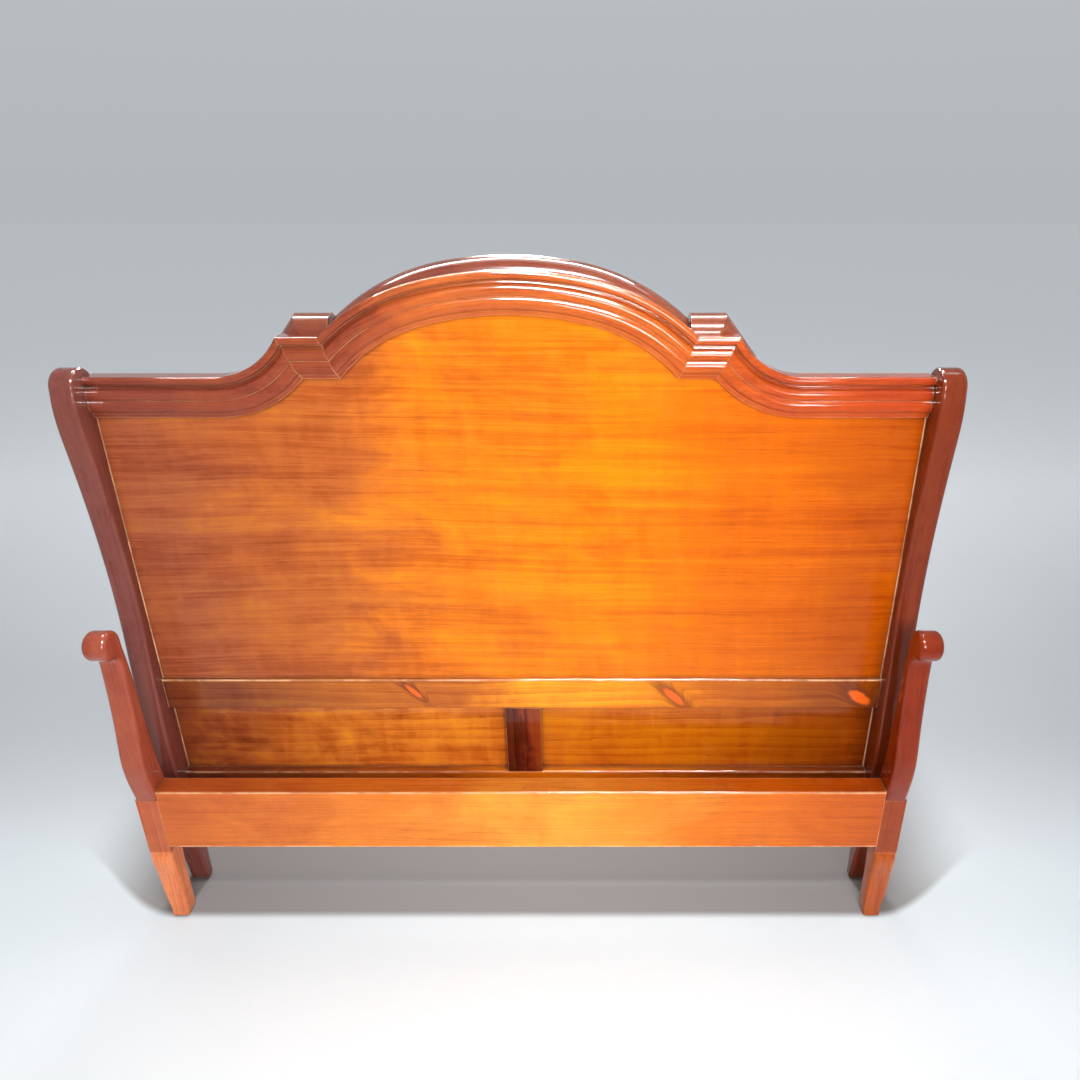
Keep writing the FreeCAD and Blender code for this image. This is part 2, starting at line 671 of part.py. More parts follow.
def big_panel():
    """Flat panel whose top follows the crest line, let into rails, posts and crest."""
    (spring, shoulder), flank_centre = spring_point()
    edge = size("panel_rebate") - size("glue_line")
    crown, flank, hollow = size("arch_radius"), size("flank_radius"), size("wing_radius")
    turn, slope = math.radians(size("arch_angle")), math.radians(size("spring_angle"))
    centre, level = wing_centre(), wing_line()
    side = size("inner_width") / 2 + size("groove_depth")
    foot = size("mid_rail_high") - size("groove_depth")
    corner_x = spring + size("shoulder_length")

    def around(middle, radius, angle):
        return (middle[0] + radius * math.sin(angle), middle[1] + radius * math.cos(angle))

    top = (0, size("apex_height") + edge)
    crown_end = around((0, size("apex_height") - crown), crown + edge, turn)
    lift = shoulder + edge - flank_centre[1]
    flank_angle = math.acos(lift / (flank + edge))
    spring_end = around(flank_centre, flank + edge, flank_angle)
    hollow_angle = math.acos((centre[1] - shoulder - edge) / (hollow - edge))
    corner = around(centre, edge - hollow, hollow_angle)
    wing_start = around(centre, edge - hollow, 0)
    right = [
        arc(top, around((0, size("apex_height") - crown), crown + edge, turn / 2), crown_end),
        arc(crown_end, around(flank_centre, flank + edge, (turn + flank_angle) / 2), spring_end),
        line(spring_end, corner),
        arc(corner, around(centre, edge - hollow, hollow_angle / 2), wing_start),
        line(wing_start, (side, level + edge)),
        line((side, level + edge), (side, foot)),
    ]
    body = doc.addObject("PartDesign::Body", "BigPanel")
    sketch = sketch_on(body, "BigPanelOutline", "XZ_Plane", "-Sizes.panel_front")
    left = []
    for curve in right:
        twin = curve.copy()
        twin.mirror(Vector(0, 0, 0), Vector(0, 1, 0))
        left.append(twin)
    sketch.addGeometry(right + left + [line((-side, foot), (side, foot))], False)
    pad = body.newObject("PartDesign::Pad", "BigPanelPad")
    pad.Profile = sketch
    pad.setExpression("Length", "Sizes.panel_thick")
    pad.Reversed = True
    body.Tip = pad
    node(body, "upper_panel")


# --- footboard --------------------------------------------------------------------------------

def foot_arm_curves():
    """Side outline of a scroll arm, as distance in front of the footboard rail, then height."""
    seat = size("block_high")
    radius = size("arm_head_radius")
    head_out, head_up = 1, 723
    below, throat_run = math.radians(70), 10
    chin = (head_out + radius * math.cos(below), head_up - radius * math.sin(below))
    throat = (chin[0] - throat_run * math.sin(below), chin[1] - throat_run * math.cos(below))
    crown = (head_out, head_up + radius)
    nape = (head_out - radius, head_up)
    front = [(1, seat), (6, 360), (14, 400), (17, 446), (8, 500), (0, 562), (-4, 618),
             (-6, 660), (-7, 684), throat, chin]
    back = [nape, (nape[0], 706), (-33, 680), (-36, 645), (-38, 600), (-39, 517), (-41, 450),
            (-49, 386), (-size("block_depth"), seat)]

    def flat(points):
        return [(foot_y(out), up) for out, up in points]

    return [
        line(*flat([back[-1], front[0]])),
        smooth(flat(front)),
        arc(*flat([chin, crown, nape])),
        smooth(flat(back)),
    ]


def dowel(name, back, grow):
    """Dowel between block and arm, or, grown a little, the hole that takes it."""
    low = f"Sizes.block_high - Sizes.dowel_length / 2 - {grow}"
    return cylinder(name, (POST_MIDDLE, f"Sizes.foot_front + {back}", low), Vector(0, 0, 1),
                    f"Sizes.dowel_radius + {grow}", f"Sizes.dowel_length + 2 * {grow}")


def footboard_rail():
    """Deep solid rail with a tenon at each end, its long front arrises softened."""
    depth = ("Sizes.foot_front", "Sizes.foot_front + Sizes.foot_rail_thick")
    board = block("FootRailBoard", (f"-({HALF})", HALF), depth,
                  ("Sizes.foot_rail_low", "Sizes.foot_rail_high"))
    front = size("foot_front")
    softened = round_edges("FootRailRound", board, size("edge_round"),
                           lambda box: along_x(box) and abs(box.YMin - front) < 0.01)
    tongue = block("FootRailTongue", (f"-({HALF}) - Sizes.tenon_length",
                                      f"{HALF} + Sizes.tenon_length"), FOOT_TENON_Y,
                   FOOT_TENON_Z)
    node(fuse("FootRail", [softened, tongue]), "footboard_rail")


def rounded_section(body, name, height, x_range, out_range, radius):
    """Rounded rectangle at a height of the leg, for a loft."""
    sketch = body.newObject("Sketcher::SketchObject", name)
    sketch.AttachmentSupport = [(origin_plane(body, "XY_Plane"), "")]
    sketch.MapMode = "FlatFace"
    sketch.AttachmentOffset = FreeCAD.Placement(Vector(0, 0, height), FreeCAD.Rotation())
    (left, right), (front, back) = x_range, (foot_y(out) for out in out_range)
    nick = radius * (1 - math.sqrt(0.5))
    corners = [(right, front, -1, 1), (right, back, -1, -1), (left, back, 1, -1),
               (left, front, 1, 1)]
    turns = []
    for number, (x, y, inward_x, inward_y) in enumerate(corners):
        on_x, on_y = (x + inward_x * radius, y), (x, y + inward_y * radius)
        middle = (x + inward_x * nick, y + inward_y * nick)
        turns.append((on_x, middle, on_y) if number % 2 == 0 else (on_y, middle, on_x))
    for number, turn in enumerate(turns):
        sketch.addGeometry(arc(*turn), False)
        sketch.addGeometry(line(turn[2], turns[(number + 1) % 4][0]), False)
    return sketch


def foot_leg():
    """Right leg: a square block above a small cabriole leg, with its joinery."""
    inner, floor = size("inner_width") / 2, size("glide_thick")
    outer = inner + size("post_width")
    body = doc.addObject("PartDesign::Body", "FootLeg")
    sections = [
        (floor, (inner, outer - 10), (0, -41), 6),
        (32, (inner, outer - 7), (-3, -43), 8),
        (95, (inner + 0.5, outer), (-3, -46), 10),
        (150, (inner + 0.5, outer + 1), (3, -50), 11),
        (174, (inner + 0.5, outer + 1), (5, -53), 11),
        (size("block_low"), (inner + 1, outer - 1), (-0.5, -54), 8),
    ]
    sketches = [rounded_section(body, f"LegSection{number}", *section)
                for number, section in enumerate(sections)]
    leg = body.newObject("PartDesign::AdditiveLoft", "LegLoft")
    leg.Profile = sketches[0]
    leg.Sections = sketches[1:]
    doc.recompute()
    body.Tip = leg
    block_y = ("Sizes.foot_front", "Sizes.foot_front + Sizes.block_depth")
    square = block("LegBlock", (HALF, POST_OUTER), block_y,
                   ("Sizes.block_low", "Sizes.block_high"))
    upright = round_edges("LegBlockRound", square, size("edge_round"),
                          lambda box: box.XLength < 0.01 and box.YLength < 0.01
                          and box.XMin > inner + 1)
    tools = [block("FootMortise", (f"{HALF} - 1", f"{HALF} + Sizes.tenon_length"), FOOT_TENON_Y,
                   FOOT_TENON_Z)]
    tools += [dowel(f"LegDowelHole{number}", back, "Sizes.dowel_play")
              for number, back in enumerate(DOWEL_BACKS)]
    tools += plate_pockets("Foot", FOOT_PLATE)
    right = node(cut("FootLegRight", fuse("FootLegStock", [upright, body]), tools),
                 "footboard_leg_right")
    node(mirrored("FootLegLeft", right), "footboard_leg_left")


def foot_arm():
    """Right scroll arm, doweled to its leg block, and its mirror image."""
    stock = padded_profile("FootArm", foot_arm_curves(), inner_round=10, outer_round=12)
    tools = [dowel(f"ArmDowelHole{number}", back, "Sizes.dowel_play")
             for number, back in enumerate(DOWEL_BACKS)]
    right = node(cut("FootArmRight", stock, tools), "footboard_arm_right")
    node(mirrored("FootArmLeft", right), "footboard_arm_left")


def arm_dowels():
    """The dowels of both arms."""
    right = [dowel(f"ArmDowel{number}", back, "0") for number, back in enumerate(DOWEL_BACKS)]
    group = doc.addObject("Part::Compound", "ArmDowels")
    group.Links = right + [mirrored(rod.Name + "Twin", rod) for rod in right]
    node(group, "footboard_arm_dowels")


def glides(end, x, y):
    """Nylon glides under the two feet of one end of the bed."""
    right = cylinder(end + "Glide", (x, y, "0"), Vector(0, 0, 1), "Sizes.glide_radius",
                     "Sizes.glide_thick")
    group = doc.addObject("Part::Compound", end + "Glides")
    group.Links = [right, mirrored(end + "GlideTwin", right)]
    node(group, f"{end.lower()}board_glides")


# --- the whole, checked and written ------------------------------------------------------------

def check():
    """Stop if any object failed to compute, or any sub-part is empty or invalid."""
    for thing in doc.Objects:
        if {"Invalid", "Error"} & set(thing.State):
            raise RuntimeError(f"{thing.Name} did not compute: {thing.State}")
    for thing in nodes:
        if thing.Shape.isNull() or not thing.Shape.isValid() or not thing.Shape.Solids:
            raise RuntimeError(f"{thing.Label} has no valid solid")


head_post()
headboard_frame()
crest_mouldings()
crown_roll()
big_panel()
hook_plate("Head", HEAD_PLATE)
glides("Head", POST_MIDDLE, str(head_y(HEAD_GLIDE)))

footboard_rail()
foot_leg()
foot_arm()
arm_dowels()
hook_plate("Foot", FOOT_PLATE)
glides("Foot", f"{POST_MIDDLE} - 3", "Sizes.foot_front + 20.5")

doc.recompute()
check()
os.makedirs("parts", exist_ok=True)
for thing in nodes:
    thing.Shape.exportStep(f"parts/{thing.Label}.step")
print(len(nodes), "nodes written")
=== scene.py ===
"""Looks of the sleigh bed ends: lacquered mahogany, steel hook plates, floor, light, camera.

Metres. The CAD nodes keep their meshes and only get materials. Every wood colour is built from
the board's own grain direction, so that streaks, pores and mottling run along each piece.
"""
import math

import bpy
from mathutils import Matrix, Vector


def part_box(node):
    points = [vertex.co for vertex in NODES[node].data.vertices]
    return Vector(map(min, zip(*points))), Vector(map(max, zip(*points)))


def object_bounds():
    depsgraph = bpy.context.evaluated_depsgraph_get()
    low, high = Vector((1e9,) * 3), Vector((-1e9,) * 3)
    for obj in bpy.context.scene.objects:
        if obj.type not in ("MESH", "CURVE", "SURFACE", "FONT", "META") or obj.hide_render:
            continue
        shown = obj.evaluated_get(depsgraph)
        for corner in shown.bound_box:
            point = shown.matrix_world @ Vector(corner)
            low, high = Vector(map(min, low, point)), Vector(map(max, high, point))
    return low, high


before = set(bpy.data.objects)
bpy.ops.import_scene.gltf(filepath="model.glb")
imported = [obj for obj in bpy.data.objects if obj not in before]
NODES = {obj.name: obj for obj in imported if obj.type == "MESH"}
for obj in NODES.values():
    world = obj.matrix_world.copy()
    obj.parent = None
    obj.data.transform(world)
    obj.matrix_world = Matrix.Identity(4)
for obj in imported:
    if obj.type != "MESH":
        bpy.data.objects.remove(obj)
cad_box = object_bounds()
SIDES = ("left", "right")


# --- material building ----------------------------------------------------------------------

class Shader:
    """A material under construction: adds nodes and joins their sockets."""

    def __init__(self, name):
        self.material = bpy.data.materials.new(name)
        self.material.use_nodes = True
        self.tree = self.material.node_tree
        self.surface = self.tree.nodes["Principled BSDF"]

    def put(self, socket, value):
        """Joins a socket to another node's output, or sets its value."""
        if isinstance(value, bpy.types.NodeSocket):
            self.tree.links.new(value, socket)
        elif isinstance(value, tuple) and len(value) == 3 and socket.type == "RGBA":
            socket.default_value = (*value, 1)
        else:
            socket.default_value = value

    def add(self, kind, inputs, **settings):
        """New node with its inputs filled in by name or place; gives its first output."""
        node = self.tree.nodes.new("ShaderNode" + kind)
        for key, value in settings.items():
            setattr(node, key, value)
        for key, value in inputs.items():
            self.put(node.inputs[key], value)
        return node.outputs[0]

    def math(self, operation, a, b=0.0):
        return self.add("Math", {0: a, 1: b}, operation=operation)

    def plus(self, a, b):
        return self.math("ADD", a, b)

    def times(self, a, b):
        return self.math("MULTIPLY", a, b)

    def lean(self, value, weight):
        """How far a value is from a half, times a weight."""
        return self.times(self.math("SUBTRACT", value, 0.5), weight)

    def measure(self, operation, a, b=None):
        """A number worked out from one or two vectors."""
        node = self.tree.nodes.new("ShaderNodeVectorMath")
        node.operation = operation
        self.put(node.inputs[0], a)
        if b is not None:
            self.put(node.inputs[1], b)
        return node.outputs["Value"]

    def split(self, vector):
        node = self.tree.nodes.new("ShaderNodeSeparateXYZ")
        self.put(node.inputs[0], vector)
        return node.outputs

    def join(self, x, y, z):
        return self.add("CombineXYZ", {0: x, 1: y, 2: z})

    def step(self, value, start, end, bottom=0.0, top=1.0):
        """Smooth change from bottom to top as a value goes from start to end."""
        return self.add("MapRange", {0: value, 1: start, 2: end, 3: bottom, 4: top},
                        interpolation_type="SMOOTHSTEP")

    def line(self, value, start, end, bottom=0.0, top=1.0):
        """Even change from bottom to top as a value goes from start to end."""
        return self.add("MapRange", {0: value, 1: start, 2: end, 3: bottom, 4: top})

    def mix(self, factor, a, b, blend="MIX"):
        """Colour a turned into b by a factor."""
        node = self.tree.nodes.new("ShaderNodeMix")
        node.data_type = "RGBA"
        node.blend_type = blend
        node.clamp_factor = True
        for place, value in ((0, factor), (6, a), (7, b)):
            self.put(node.inputs[place], value)
        return node.outputs[2]

    def tinted(self, colour, tint):
        """A colour seen through a tint."""
        return self.mix(1.0, colour, tint, "MULTIPLY")

    def ramp(self, value, stops):
        """Colour that follows a value through stops of (place, colour)."""
        node = self.tree.nodes.new("ShaderNodeValToRGB")
        self.put(node.inputs[0], value)
        band = node.color_ramp
        band.interpolation = "EASE"
        while len(band.elements) < len(stops):
            band.elements.new(0.5)
        for element, (place, colour) in zip(band.elements, stops):
            element.position = place
            element.color = (*colour, 1)
        return node.outputs[0]

    def place(self):
        """Where a point of the piece is, in metres."""
        return self.tree.nodes.new("ShaderNodeTexCoord").outputs["Object"]

    def stretch(self, vector, factors):
        """A vector scaled differently along each axis."""
        return self.add("Mapping", {"Vector": vector, "Scale": factors}, vector_type="POINT")

    def noise(self, vector, scale, detail, roughness=0.5, distortion=0.0):
        """Noise of one scale, or of a scale for each axis."""
        if isinstance(scale, tuple):
            vector, scale = self.stretch(vector, scale), 1.0
        return self.add("TexNoise", {"Vector": vector, "Scale": scale, "Detail": detail,
                                     "Roughness": roughness, "Distortion": distortion})

    def arris(self, radius):
        """1 on the sharp edges of the piece, fading to 0 within a radius of them."""
        rounded = self.add("Bevel", {"Radius": radius}, samples=4)
        true = self.tree.nodes.new("ShaderNodeNewGeometry").outputs["Normal"]
        return self.step(self.measure("DOT_PRODUCT", rounded, true), 0.995, 0.80)

    def crevice(self, distance):
        """1 deep in grooves and corners between pieces, 0 in the open."""
        open_share = self.tree.nodes.new("ShaderNodeAmbientOcclusion")
        open_share.samples = 6
        open_share.inputs["Distance"].default_value = distance
        return self.step(open_share.outputs["AO"], 0.85, 0.25)

    def bump(self, height, distance, strength, normal=None):
        inputs = {"Height": height, "Distance": distance, "Strength": strength}
        if normal is not None:
            inputs["Normal"] = normal
        return self.add("Bump", inputs)

    def finish(self, **sockets):
        """Fills the shader's own sockets, spaces in their names written as underscores."""
        for key, value in sockets.items():
            self.put(self.surface.inputs[key.replace("_", " ")], value)
        return self.material


# --- wood -----------------------------------------------------------------------------------

# radius of the crest's arch, along which its grain bends
BEND_RADIUS = 0.60
# how far a board's figure lies from that of the board before it, along and through the wood
SEED_ALONG, SEED_THROUGH = 3.7, 1.3
# the stretch of X that the tones, lacquer colours with painted light in them, are spread over,
# and how ragged their borders are
TONES_FROM, TONES_TO, TONES_RAGGED = -0.85, 0.85, 0.45
# how far the grain wanders across the board, and how far a knot pushes it aside
GRAIN_DRIFT, KNOT_PUSH = 0.045, 0.035
# a knot runs right through its board
KNOT_DEPTH = 1e3
# half the height over which a board's upper part turns darker: painted shade on the footboard
# rail's top, own colour on the leg blocks
TINT_EDGE = 0.002

# what the lacquer's tone is multiplied by, from the darkest streaks to the lightest
FIGURE_SHADES = [(0.12, (0.34, 0.22, 0.18)), (0.36, (0.74, 0.62, 0.62)),
                 (0.52, (0.94, 0.93, 1.00)), (0.66, (1.06, 1.20, 0.94)),
                 (0.88, (1.14, 1.55, 0.90))]
PORE = (0.10, 0.02, 0.008)
KNOT_HALO = (0.13, 0.026, 0.008)
KNOT_HEART = (0.78, 0.115, 0.010)
# painted shade: corners between pieces, and crevices
CORNER_PAINTED_SHADE = (0.42, 0.30, 0.26)
CREVICE_PAINTED_SHADE = (0.05, 0.010, 0.005)
# arrises lighter: partly wear, partly painted highlight
ARRIS_WEAR_AND_HIGHLIGHT = (0.88, 0.46, 0.20)
# dark joints, and painted shadow lines
DARK_JOINT_AND_SHADOW_LINE = (0.06, 0.012, 0.006)
# painted highlight lines
PAINTED_HIGHLIGHT_LINE = (0.86, 0.50, 0.27)


def grain_vector(shader, place, grain, seed):
    """Place turned so that its first part runs along the grain; seed moves it elsewhere.

    grain is "x" or "z", or a centre (x, z) for pieces that bend round it.
    """
    x, y, z = shader.split(place)
    if grain == "x":
        along, across = x, z
    elif grain == "z":
        along, across = z, x
    else:
        out_x = shader.math("SUBTRACT", x, grain[0])
        out_z = shader.math("SUBTRACT", z, grain[1])
        across = shader.math("SQRT", shader.plus(shader.times(out_x, out_x),
                                                 shader.times(out_z, out_z)))
        along = shader.times(shader.math("ARCTAN2", out_x, out_z), BEND_RADIUS)
    return shader.join(shader.plus(along, seed * SEED_ALONG), across,
                       shader.plus(y, seed * SEED_THROUGH))


def knot_fields(shader, place, knots):
    """Distance from each knot, 1 at its rim: list of outputs."""
    fields = []
    for x, z, half_length, half_height, slope in knots:
        local = shader.add("Mapping", {"Vector": place, "Location": (x, 0, z),
                                       "Rotation": (0, slope, 0),
                                       "Scale": (half_length, KNOT_DEPTH, half_height)},
                           vector_type="TEXTURE")
        fields.append(shader.measure("LENGTH", local))
    return fields


def seam_field(shader, place, seam):
    """Distance in metres from the plane of a dark or pale line, given by two points (x, z) on it.
    """
    (x, z), (other_x, other_z) = seam
    run = Vector((other_x - x, other_z - z)).normalized()
    across = shader.measure("DOT_PRODUCT", place, (run.y, 0, -run.x))
    return shader.math("ABSOLUTE", shader.math("SUBTRACT", across, x * run.y - z * run.x))


def wandering(shader, run, fields):
    """The grain vector of wood that wanders a little, and bends round the knots."""
    sway = shader.lean(shader.noise(run, (1.3, 2.5, 2.5), 2.0), GRAIN_DRIFT)
    for field in fields:
        sway = shader.plus(sway, shader.step(field, 3.2, 0.4, 0.0, KNOT_PUSH))
    along, across, depth = shader.split(run)
    return shader.join(along, shader.plus(across, sway), depth)


def grain_parts(shader, run):
    """The wood's separate figures, each swinging round a half: outputs by name."""
    return {
        "broad": shader.noise(run, (0.7, 9, 9), 3.0, 0.5, 0.3),
        "wide": shader.noise(run, (1.3, 52, 52), 5.0, 0.6, 0.4),
        "fine": shader.noise(run, (3.4, 230, 230), 5.0, 0.65, 0.3),
        "hair": shader.noise(run, (12, 620, 620), 3.0, 0.6),
        "mottle": shader.noise(run, (5.5, 9, 9), 4.0, 0.62, 0.6),
        "ripple": shader.noise(run, (26, 5, 5), 2.0, 0.5, 0.8),
        "arches": shader.add("TexWave", {"Vector": shader.stretch(run, (0.55, 7, 2)),
                                         "Scale": 1.6, "Distortion": 7.0, "Detail": 3.0,
                                         "Detail Scale": 1.4, "Detail Roughness": 0.6},
                             wave_type="BANDS", bands_direction="Y", wave_profile="SAW"),
    }


def tone_with_painted_light(shader, place, mottle, tones):
    """The lacquer's tone along X, with painted light and shade in it, its borders broken up by
    the mottling.
    """
    loose = shader.plus(shader.split(place)[0], shader.lean(mottle, TONES_RAGGED))
    span = TONES_TO - TONES_FROM
    return shader.ramp(shader.line(loose, TONES_FROM, TONES_TO),
                       [((at - TONES_FROM) / span, colour) for at, colour in tones])


def with_knots(shader, colour, fields, fine):
    """A colour with a dark halo and a red heart at each knot."""
    for field in fields:
        ragged = shader.plus(field, shader.lean(fine, 0.9))
        halo = shader.step(ragged, 2.6, 0.9)
        heart = shader.step(ragged, 1.15, 0.70)
        colour = shader.mix(shader.times(halo, 0.72), colour, KNOT_HALO)
        colour = shader.mix(shader.times(heart, 0.92), colour, KNOT_HEART)
    return colour


def with_wear_and_painted_light(shader, place, colour, crevice, wear_and_highlight_patches, dark_joints_and_shadow_lines, highlight_lines):
    """Painted shade in crevices and corners; dark joints and painted shadow lines; arrises
    lighter from wear and painted highlight; painted highlight lines.
    """
    # painted shade in corners between pieces and, darker, in crevices
    corner = shader.times(shader.crevice(0.07), 0.75)
    colour = shader.mix(corner, colour, shader.tinted(colour, CORNER_PAINTED_SHADE))
    colour = shader.mix(shader.times(crevice, 0.72), colour, CREVICE_PAINTED_SHADE)
    # arrises lighter in patches, partly wear and partly painted highlight
    arris_wear_and_highlight = shader.times(shader.arris(0.0026), shader.plus(0.25, shader.times(wear_and_highlight_patches, 0.55)))
    colour = shader.mix(arris_wear_and_highlight, colour, ARRIS_WEAR_AND_HIGHLIGHT)
    # dark joints, and painted shadow lines where those are given
    for seam in dark_joints_and_shadow_lines:
        line_mark = shader.step(seam_field(shader, place, seam), 0.0016, 0.0004, 0.0, 0.28)
        colour = shader.mix(line_mark, colour, DARK_JOINT_AND_SHADOW_LINE)
    # painted highlight lines, patchy
    for seam in highlight_lines:
        line_mark = shader.step(seam_field(shader, place, seam), 0.0030, 0.0010, 0.0, 0.70)
        line_mark = shader.times(line_mark, shader.step(wear_and_highlight_patches, 0.0, 1.0, 0.35, 1.0))
        colour = shader.mix(line_mark, colour, PAINTED_HIGHLIGHT_LINE)
    return colour


def wood(name, tones, grain, seed, bands=0.5, streaks=0.5, cloud=0.4, cathedral=0.0,
         knots=(), dark_joints_and_shadow_lines=(), highlight_lines=(), above=None, polish=0.16, coat=0.8):
    """Lacquered wood.

    tones: lacquer colours at places along X (metres), with painted light in them; bands, streaks,
    cloud and cathedral set how strong each figure is; knots: (x, z, half length, half height,
    slope) of each; dark and pale lines, each by two points (x, z): dark joints and painted
    shadow lines, and painted highlight lines; above: a height and the colour that the lacquer is
    multiplied by above it, painted shade on the footboard rail's top; polish: roughness where it
    is smoothest; coat: weight of the coat.
    """
    shader = Shader(name)
    place = shader.place()
    fields = knot_fields(shader, place, knots)
    run = wandering(shader, grain_vector(shader, place, grain, seed), fields)
    parts = grain_parts(shader, run)
    weights = {"broad": bands * 0.5, "wide": bands * 0.75, "fine": streaks * 1.1,
               "hair": streaks * 0.6, "mottle": cloud, "ripple": cloud * 0.35,
               "arches": cathedral}
    figure = 0.5
    for part, weight in weights.items():
        figure = shader.plus(shader.lean(parts[part], weight), figure)

    tone = tone_with_painted_light(shader, place, parts["mottle"], tones)
    colour = shader.tinted(tone, shader.ramp(figure, FIGURE_SHADES))
    if above:
        height, tint = above
        upper = shader.step(shader.split(place)[2], height - TINT_EDGE, height + TINT_EDGE)
        colour = shader.mix(upper, colour, shader.tinted(colour, tint))
    pores = shader.step(shader.noise(run, (38, 1300, 1300), 1.0), 0.60, 0.72)
    colour = shader.mix(shader.times(pores, 0.30), colour, PORE)
    colour = with_knots(shader, colour, fields, parts["fine"])
    crevice = shader.crevice(0.012)
    # patches where arrises and highlight lines show most: partly wear, partly painted highlight
    wear_and_highlight_patches = shader.step(shader.noise(place, 17.0, 4.0, 0.6), 0.36, 0.66)
    colour = with_wear_and_painted_light(shader, place, colour, crevice, wear_and_highlight_patches, dark_joints_and_shadow_lines, highlight_lines)

    handling = shader.noise(place, 9.0, 5.0, 0.6)
    roughness = shader.plus(shader.line(handling, 0.3, 0.7, polish, polish + 0.14),
                            shader.times(crevice, 0.25))

    # brushed lacquer lies a little uneven; the pores and grain show through it faintly
    flow = shader.noise(run, (9, 30, 30), 2.0)
    normal = shader.bump(flow, 0.0011, 0.5)
    normal = shader.bump(parts["fine"], 0.00025, 0.5, normal)
    normal = shader.bump(pores, 0.00016, -0.6, normal)
    return shader.finish(Base_Color=colour, Roughness=roughness, Normal=normal,
                         Coat_Weight=coat, Coat_Roughness=0.055, Coat_IOR=1.34,
                         Coat_Normal=shader.bump(flow, 0.0011, 0.45), Specular_IOR_Level=0.06)


def dress(node, material):
    """Gives a CAD node one material all over."""
    slots = NODES[node].data.materials
    slots.clear()
    slots.append(material)


# --- the tones of each kind of board, as (X, colour), lacquer colour with painted light in it ---

# besides the board's own colour each table paints in light: brighter in the middle, painted shade
# towards the ends and on shaded sides, and a pale painted sheen on the left
PANEL = [(-0.76, (0.37, 0.094, 0.034)), (-0.40, (0.48, 0.118, 0.020)),
         (-0.08, (0.74, 0.180, 0.005)), (0.18, (0.80, 0.185, 0.001)),
         (0.48, (0.60, 0.115, 0.001)), (0.76, (0.42, 0.070, 0.001))]
MID_RAIL = [(-0.76, (0.17, 0.036, 0.014)), (-0.62, (0.22, 0.050, 0.012)),
            (-0.25, (0.46, 0.115, 0.010)), (0.10, (0.94, 0.290, 0.006)),
            (0.50, (0.42, 0.090, 0.002)), (0.76, (0.24, 0.044, 0.002))]
LOWER_PANEL = [(-0.76, (0.24, 0.050, 0.016)), (-0.52, (0.50, 0.130, 0.018)),
               (-0.25, (0.66, 0.190, 0.018)), (0.30, (0.48, 0.115, 0.003)),
               (0.76, (0.24, 0.040, 0.001))]
FOOT_RAIL = [(-0.76, (0.60, 0.125, 0.018)), (-0.30, (0.78, 0.205, 0.014)),
             (0.10, (0.88, 0.340, 0.026)), (0.50, (0.70, 0.150, 0.001)),
             (0.76, (0.52, 0.086, 0.001))]
CREST = [(-0.76, (0.25, 0.050, 0.026)), (-0.35, (0.29, 0.056, 0.020)),
         (-0.08, (0.52, 0.112, 0.020)), (0.25, (0.58, 0.115, 0.012)),
         (0.50, (0.48, 0.068, 0.008)), (0.76, (0.44, 0.050, 0.005))]
ROLL = [(-0.60, (0.20, 0.048, 0.026)), (0.60, (0.26, 0.062, 0.032))]
POST = [(-0.60, (0.215, 0.058, 0.042)), (0.60, (0.195, 0.028, 0.006))]
ARM = [(-0.60, (0.38, 0.080, 0.040)), (0.60, (0.23, 0.022, 0.002))]
LEG = [(-0.60, (0.82, 0.230, 0.072)), (0.60, (0.46, 0.084, 0.006))]
STILE = [(-0.04, (0.080, 0.011, 0.004)), (0.04, (0.21, 0.029, 0.006))]

# painted shade darkens the top face of the footboard's rail; the blocks of its legs are darker in
# colour than what is below
RAIL_TOP_PAINTED_SHADE = (0.66, 0.56, 0.70)
LEG_BLOCK_TINT = (0.66, 0.50, 0.46)
LEG_BLOCK_FROM = 0.195

# the mouldings and shaped pieces have a fuller coat than the boards
GLOSSY = {"polish": 0.10, "coat": 1.0}

# how far a painted highlight line lies from the top or underside of its board, so that it leaves
# those bare
ARRIS_DROP = 0.0032


# --- dressing the two ends ------------------------------------------------------------------

def corners(node):
    """Lowest and highest corner of a CAD node."""
    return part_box(node)


def crest_joints():
    """The two mitre lines of the right half of the crest, by two points (x, z) each."""
    low, high = corners("crest_shoulder_right")
    arch_high, wing_low = corners("crest_arch")[1], corners("crest_wing_right")[0]
    return [((low.x, low.z), (arch_high.x, high.z)), ((wing_low.x, low.z), (high.x, high.z))]


def flipped(seams):
    """The same joint lines on the left half."""
    return [tuple((-x, z) for x, z in seam) for seam in seams]


def level_lines(heights):
    """Lines along X at these heights."""
    return [((-1.0, height), (1.0, height)) for height in heights]


